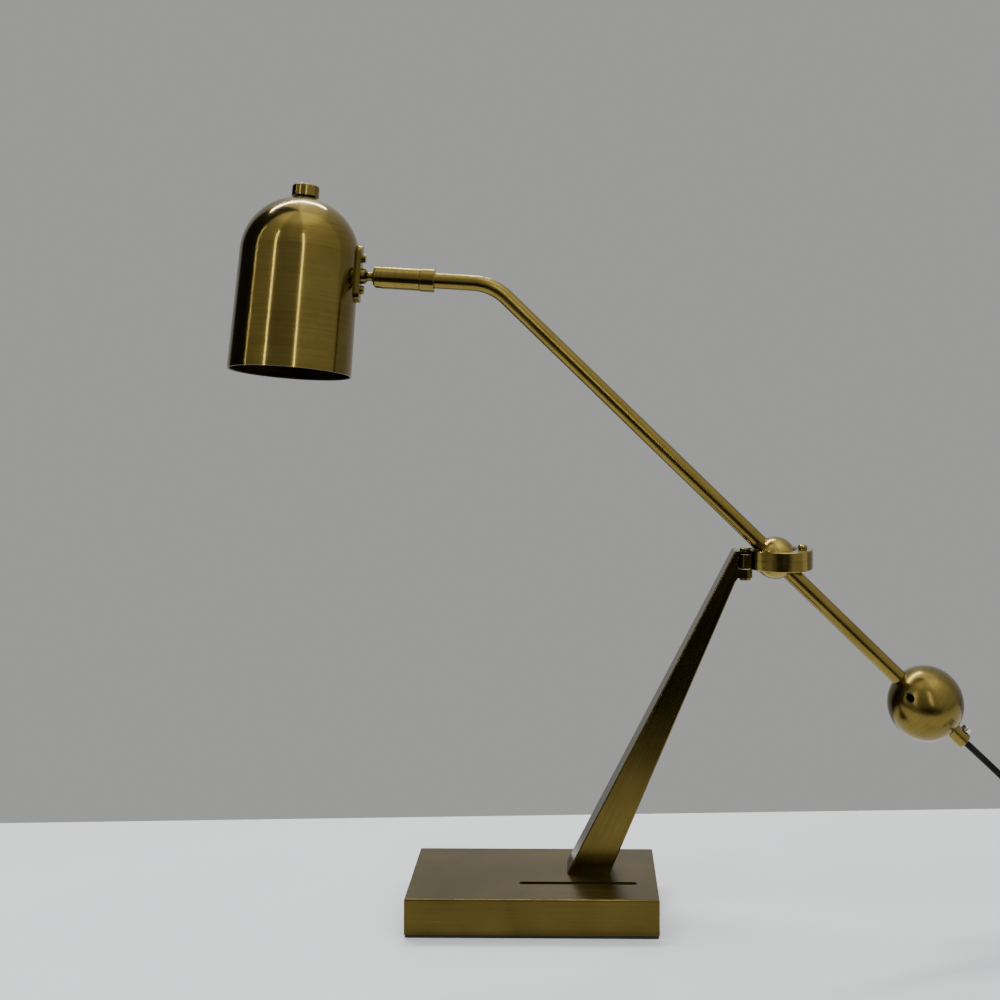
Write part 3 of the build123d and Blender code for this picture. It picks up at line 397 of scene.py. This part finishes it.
SHADE_AIM = (-0.15, 0.0, 0.40)
strip_light("strip_far_left", (-1.75, -0.33, 1.05), SHADE_AIM, 0.008, 1.30, 0.9)
strip_light("strip_left", (-1.13, -1.30, 1.05), SHADE_AIM, 0.014, 1.30, 3.2)
strip_light("strip_right", (0.38, -1.60, 1.05), SHADE_AIM, 0.014, 1.30, 3.2)
strip_light("overhead", (-0.42, 0.78, 1.80), (-0.15, 0.0, 0.2), 1.5, 0.03, 24.0)

# ---- Base ---------------------------------------------------------------------------------
# A weighted slab: a folded brass cover, brushed from end to end and lacquered, screwed over a
# cast iron weight that stands on a black rubber pad.

BRASS_DEEP = (0.100, 0.071, 0.014)
BRASS_MID = (0.165, 0.122, 0.030)
BRASS_PALE = (0.280, 0.214, 0.062)
TARNISH = (0.06, 0.04, 0.015, 1)
DRAWN_OUT = 0.012                    # how little a scratch changes along its own length
SPREAD = 0.5                         # how much wider a highlight is across the scratches


def brass(name, centre, along, lay_of, rough, grain=900.0, depth=0.000002, painted_light_lift=1.0):
    """Aged, lacquered brass.  Its fine scratches run round the axis through centre where it is
    spun, along that axis where it is brushed, and along a drawn tube; patches and specks of
    tarnish darken it."""
    material, tree, surface = shader_of(name)
    at = vectors(tree, "SUBTRACT", node(tree, "ShaderNodeTexCoord").outputs["Object"], tuple(centre))
    axis = Vector(along).normalized()
    height = vectors(tree, "DOT_PRODUCT", at, tuple(axis))
    rise = scaled(tree, tuple(axis), height)
    outward = vectors(tree, "SUBTRACT", at, rise)
    if lay_of == "drawn":
        stretch = {0: node(tree, "ShaderNodeTexCoord").outputs["UV"], 1: (1.0, DRAWN_OUT, 0.0)}
        lay = node(tree, "ShaderNodeVectorMath", stretch, operation="MULTIPLY").outputs[0]
    elif lay_of == "spun":
        radius = vectors(tree, "LENGTH", outward)
        drift = scaled(tree, outward, DRAWN_OUT)
        rings = node(tree, "ShaderNodeCombineXYZ", {"X": height, "Y": radius}).outputs[0]
        lay = vectors(tree, "ADD", rings, drift)
    else:
        drift = scaled(tree, rise, DRAWN_OUT)
        lay = vectors(tree, "ADD", outward, drift)
    scratches = noise(tree, lay, grain, 2.0, 0.5)
    bands = noise(tree, lay, grain * 0.12, 3.0)
    patches = noise(tree, at, 22.0, 3.0)
    specks = ramp(tree, noise(tree, at, 420.0, 2.0), [(0.66, 0.0), (0.74, 1.0)])
    tone = maths(tree, "MULTIPLY_ADD", scratches, 0.30, maths(tree, "MULTIPLY_ADD", bands, 0.10, -0.03))
    tone = maths(tree, "ADD", tone, maths(tree, "MULTIPLY", patches, 0.45))
    tints = (BRASS_DEEP, BRASS_MID, BRASS_PALE)
    # The tints are scaled lighter or darker piece by piece: painted light and shade, for how bright each
    # piece looks in the room's light.
    deep, middle, pale = [tuple(part * painted_light_lift for part in tint) for tint in tints]
    colour = node(tree, "ShaderNodeMix", {0: maths(tree, "MULTIPLY", specks, 0.35)}, data_type="RGBA")
    tree.links.new(ramp(tree, tone, [(0.20, deep), (0.45, middle), (0.72, pale)]), colour.inputs["A"])
    colour.inputs["B"].default_value = TARNISH
    tree.links.new(colour.outputs["Result"], surface.inputs["Base Color"])
    gloss = maths(tree, "MULTIPLY_ADD", scratches, 0.08, rough - 0.08)
    gloss = maths(tree, "MULTIPLY_ADD", patches, 0.08, gloss)
    tree.links.new(gloss, surface.inputs["Roughness"])
    bump = node(tree, "ShaderNodeBump", {"Height": scratches, "Strength": 0.4, "Distance": depth})
    tree.links.new(bump.outputs["Normal"], surface.inputs["Normal"])
    surface.inputs["Metallic"].default_value = 1.0
    # A highlight spreads across the scratches.
    grain_way = node(tree, "ShaderNodeVectorTransform", {0: tuple(axis)}, convert_from="OBJECT",
                     convert_to="WORLD", vector_type="VECTOR").outputs[0]
    tree.links.new(grain_way, surface.inputs["Tangent"])
    surface.inputs["Anisotropic"].default_value = SPREAD
    surface.inputs["Anisotropic Rotation"].default_value = 0.0 if lay_of == "spun" else 0.25
    return material


base_low, base_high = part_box("base_cover")
base_middle = (base_low + base_high) / 2
# Its brass is painted darker than the other pieces': painted shade, for the dark room that its faces mirror.
dress("base_cover", brass("base_brass", base_middle, (1, 0, 0), "brushed", 0.24, painted_light_lift=0.58))

# ---- Post ---------------------------------------------------------------------------------
# A hollow brass bar that leans and tapers, brushed along its length, with a cast head.

post_low, post_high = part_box("post")
post_lean = (0.478, 0, 1)
# The post's brass is painted a little darker: painted shade.
post_brass = brass("post_brass", (post_low + post_high) / 2, post_lean, "brushed", 0.22, painted_light_lift=0.72)
dress("post", post_brass)
dress("post_head", post_brass)

# ---- Pivot --------------------------------------------------------------------------------
# A turned brass ball that the tube passes through, held in a two-part clamp ring on a plastic
# seat.  The ring swings on an upright bolt in the post's fork; a screw draws its halves together.

arm_turn = next(joint for joint in frame["joints"] if joint["name"] == "arm_roll")
pivot, down_arm = Vector(arm_turn["pos_m"]), Vector(arm_turn["axis"])
# The ring, the ball and the turned parts are painted lighter: painted light.
ring_brass = brass("ring_brass", pivot, (0, 0, 1), "spun", 0.17, painted_light_lift=1.5)
for name in ("ring_upper", "ring_lower"):
    dress(name, ring_brass)
dress("pivot_ball", brass("ball_brass", pivot, down_arm, "spun", 0.20, painted_light_lift=1.5))
turned_brass = brass("turned_brass", pivot, (0, 0, 1), "spun", 0.17, painted_light_lift=1.5)
for name in ("hinge_bolt", "hinge_nut", "clamp_screw"):
    dress(name, turned_brass)

# ---- Arm ----------------------------------------------------------------------------------
# A drawn brass tube, 12 mm across with a 1 mm wall, cold bent once near its front.  Its tail is
# cut square; a turned collar, a swivel sleeve and a ball stud are fixed to its front end.

head_turn = next(joint for joint in frame["joints"] if joint["name"] == "head_swivel")
stud, to_bend = Vector(head_turn["pos_m"]), Vector(head_turn["axis"])
TUBE_R, TUBE_BORE, BEND_R = 0.006, 0.005, 0.040
TAIL_AT, COLLAR_AT = 0.1965, 0.033   # tail end from the pivot, front end from the stud's ball
ROUNDED, LIP = 0.0004, 0.004         # the broken edge of the cut end, and the ring behind it
TUBE_SIDES = 64
LONG_STEPS, BEND_STEPS, FRONT_STEPS = 24, 32, 6
bend_turn = down_arm.angle(to_bend)
# The corner of the bend is where the two straight runs would meet.
turning = to_bend.cross(down_arm)
front_run = (pivot - stud).cross(down_arm).dot(turning) / turning.length_squared
corner = stud + to_bend * front_run
bend_start = corner + down_arm * BEND_R * math.tan(bend_turn / 2)
bend_middle = bend_start - down_arm.cross(turning).normalized() * BEND_R
turn_axis = turning.normalized()
tail = pivot + down_arm * TAIL_AT
tube_line = [tail - down_arm * lip for lip in (0, ROUNDED, LIP)]
tube_line += [tail.lerp(bend_start, step / LONG_STEPS) for step in range(1, LONG_STEPS + 1)]
for step in range(1, BEND_STEPS + 1):
    swing = Quaternion(turn_axis, -bend_turn * step / BEND_STEPS)
    tube_line.append(bend_middle + swing @ (bend_start - bend_middle))
front_end = stud + to_bend * COLLAR_AT
tube_line += [tube_line[-1].lerp(front_end, step / FRONT_STEPS) for step in range(1, FRONT_STEPS + 1)]
tube_radii = [TUBE_R - ROUNDED] + [TUBE_R] * (len(tube_line) - 1)
tube = sheath("arm_pipe", tube_line, tube_radii, TUBE_SIDES, TUBE_BORE)
# The tube's brass is painted lighter: painted light.
tube.data.materials.append(brass("tube_brass", pivot, down_arm, "drawn", 0.23, 500.0, 0.0000002, 1.3))
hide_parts("arm_tube")
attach(tube, "arm")
joint_brass = brass("joint_brass", stud, to_bend, "spun", 0.20, painted_light_lift=1.2)
for name in ("joint_collar", "swivel_sleeve", "ball_stud"):
    dress(name, joint_brass)

# ---- Counterweight ------------------------------------------------------------------------
# A solid ball turned and brushed on a lathe, bored through for the tube, and held on it by a
# grub screw at the bottom of a drilled hole.

weight_low, weight_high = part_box("counterweight")
weight_middle = (weight_low + weight_high) / 2
dress("counterweight", brass("weight_brass", weight_middle, down_arm, "spun", 0.22, painted_light_lift=0.95))

# ---- Shade --------------------------------------------------------------------------------
# A bell spun from 1 mm brass sheet, brushed round and lacquered, with a small bead inside its
# rim, a turned knob on top, and a plate on its side that two screws and the ball stud hold.

INSIDE_SHADE_DEEP, INSIDE_SHADE_PALE = (0.012, 0.008, 0.004), (0.030, 0.020, 0.010)
knob_turn = next(joint for joint in frame["joints"] if joint["name"] == "knob_turn")
shade_top, shade_up = Vector(knob_turn["pos_m"]), Vector(knob_turn["axis"])
shade_brass = brass("shade_brass", shade_top, shade_up, "spun", 0.14, painted_light_lift=1.1)
# The inside of the shade is painted dark and dull: painted shade, for the shadow inside the bell.  There,
# what a face points at lies towards the axis.
tree = shade_brass.node_tree
surface = tree.nodes["Principled BSDF"]
places = node(tree, "ShaderNodeTexCoord").outputs
from_top = vectors(tree, "SUBTRACT", places["Object"], tuple(shade_top))
facing = vectors(tree, "DOT_PRODUCT", places["Normal"], from_top)
upward = vectors(tree, "DOT_PRODUCT", places["Normal"], tuple(shade_up))
drop = vectors(tree, "DOT_PRODUCT", from_top, tuple(shade_up))
outward = maths(tree, "SUBTRACT", facing, maths(tree, "MULTIPLY", upward, drop))
inside = maths(tree, "LESS_THAN", outward, -0.001)
painted_inside_shade = node(tree, "ShaderNodeMix", {0: inside}, data_type="RGBA")
tree.links.new(surface.inputs["Base Color"].links[0].from_socket, painted_inside_shade.inputs["A"])
cloudy = noise(tree, places["Object"], 90.0)
tree.links.new(ramp(tree, cloudy, [(0.3, INSIDE_SHADE_DEEP), (0.7, INSIDE_SHADE_PALE)]), painted_inside_shade.inputs["B"])
tree.links.new(painted_inside_shade.outputs["Result"], surface.inputs["Base Color"])
polish = surface.inputs["Roughness"].links[0].from_socket
tree.links.new(maths(tree, "MULTIPLY_ADD", inside, 0.35, polish), surface.inputs["Roughness"])
dress("shade", shade_brass)
dress("switch_knob", brass("knob_brass", shade_top, shade_up, "spun", 0.17, painted_light_lift=1.1))
dress("bracket_plate", joint_brass)
dress("bracket_screws", joint_brass)

# ---- Plated steel -------------------------------------------------------------------------
# Screws, nuts, springs and the lampholder's shell, pressed or turned from steel and zinc or
# nickel plated: bright, a little cloudy, and rubbed duller in small patches.

plated, tree, surface = shader_of("plated_steel")
at = node(tree, "ShaderNodeTexCoord").outputs["Object"]
wear = noise(tree, at, 900.0, 3.0)
tree.links.new(ramp(tree, noise(tree, at, 160.0), [(0.3, (0.52, 0.52, 0.50)), (0.7, (0.72, 0.72, 0.70))]),
               surface.inputs["Base Color"])
tree.links.new(maths(tree, "MULTIPLY_ADD", wear, 0.20, 0.12), surface.inputs["Roughness"])
surface.inputs["Metallic"].default_value = 1.0
for name in ("cord_clamp_screw", "ball_grub", "switch_nut", "dome_washer", "bracket_nuts", "base_screws",
             "post_bolts", "swivel_spigot", "disc_springs", "holder_strap", "holder_shell",
             "bulb_cap", "plug_pins"):
    dress(name, plated)

# The counterweight's grub screw is painted dark instead: painted shade, for the shadow at the bottom of its
# drilled hole.
shaded_grub = moulded("shaded_grub_steel", (0.010, 0.010, 0.011), (0.028, 0.026, 0.024), 0.38, 1200.0, 0.00002)
shaded_grub.node_tree.nodes["Principled BSDF"].inputs["Metallic"].default_value = 0.8
dress("counterweight_grub", shaded_grub)

# ---- Castings -----------------------------------------------------------------------------
# The weight under the base cover and the plug in the post's foot, sand cast in grey iron and
# left as cast, with a coarse skin.

cast_iron = moulded("cast_iron", (0.05, 0.05, 0.052), (0.10, 0.10, 0.10), 0.62, 700.0, 0.00008)
cast_iron.node_tree.nodes["Principled BSDF"].inputs["Metallic"].default_value = 0.6
for name in ("base_weight", "post_foot"):
    dress(name, cast_iron)

# ---- Rubber and mouldings -----------------------------------------------------------------
# The base's rubber pad, the inner leads, the dark moulded switch, lampholder and tail bush, and
# the white nylon washers, ball seat and cup that the joints turn on.

pad_rubber = moulded("pad_rubber", (0.010, 0.010, 0.010), (0.022, 0.021, 0.020), 0.75, 1500.0, 0.00005)
dress("base_pad", pad_rubber)
for name in ("arm_lead", "head_lead"):
    dress(name, flex_jacket)
bakelite = moulded("bakelite", (0.018, 0.012, 0.009), (0.032, 0.024, 0.018), 0.30, 900.0, 0.00002)
for name in ("tail_bush", "switch_body", "lampholder"):
    dress(name, bakelite)
nylon = moulded("nylon", (0.66, 0.64, 0.58), (0.78, 0.76, 0.70), 0.45, 1200.0, 0.00002)
for name in ("hinge_washers", "seat_liner", "pressure_cup"):
    dress(name, nylon)

# ---- Bulb ---------------------------------------------------------------------------------
# A small round bulb of opal glass, blown in one piece and cemented into its plated cap.

opal, tree, surface = shader_of("opal_glass")
at = node(tree, "ShaderNodeTexCoord").outputs["Object"]
cloud = noise(tree, at, 45.0, 3.0)
tree.links.new(ramp(tree, cloud, [(0.35, (0.80, 0.78, 0.72)), (0.7, (0.90, 0.89, 0.85))]),
               surface.inputs["Base Color"])
tree.links.new(maths(tree, "MULTIPLY_ADD", cloud, 0.06, 0.08), surface.inputs["Roughness"])
surface.inputs["Coat Weight"].default_value = 0.6
surface.inputs["Coat Roughness"].default_value = 0.04
surface.inputs["Subsurface Weight"].default_value = 0.25
surface.inputs["Subsurface Radius"].default_value = (0.004, 0.004, 0.003)
dress("bulb_glass", opal)
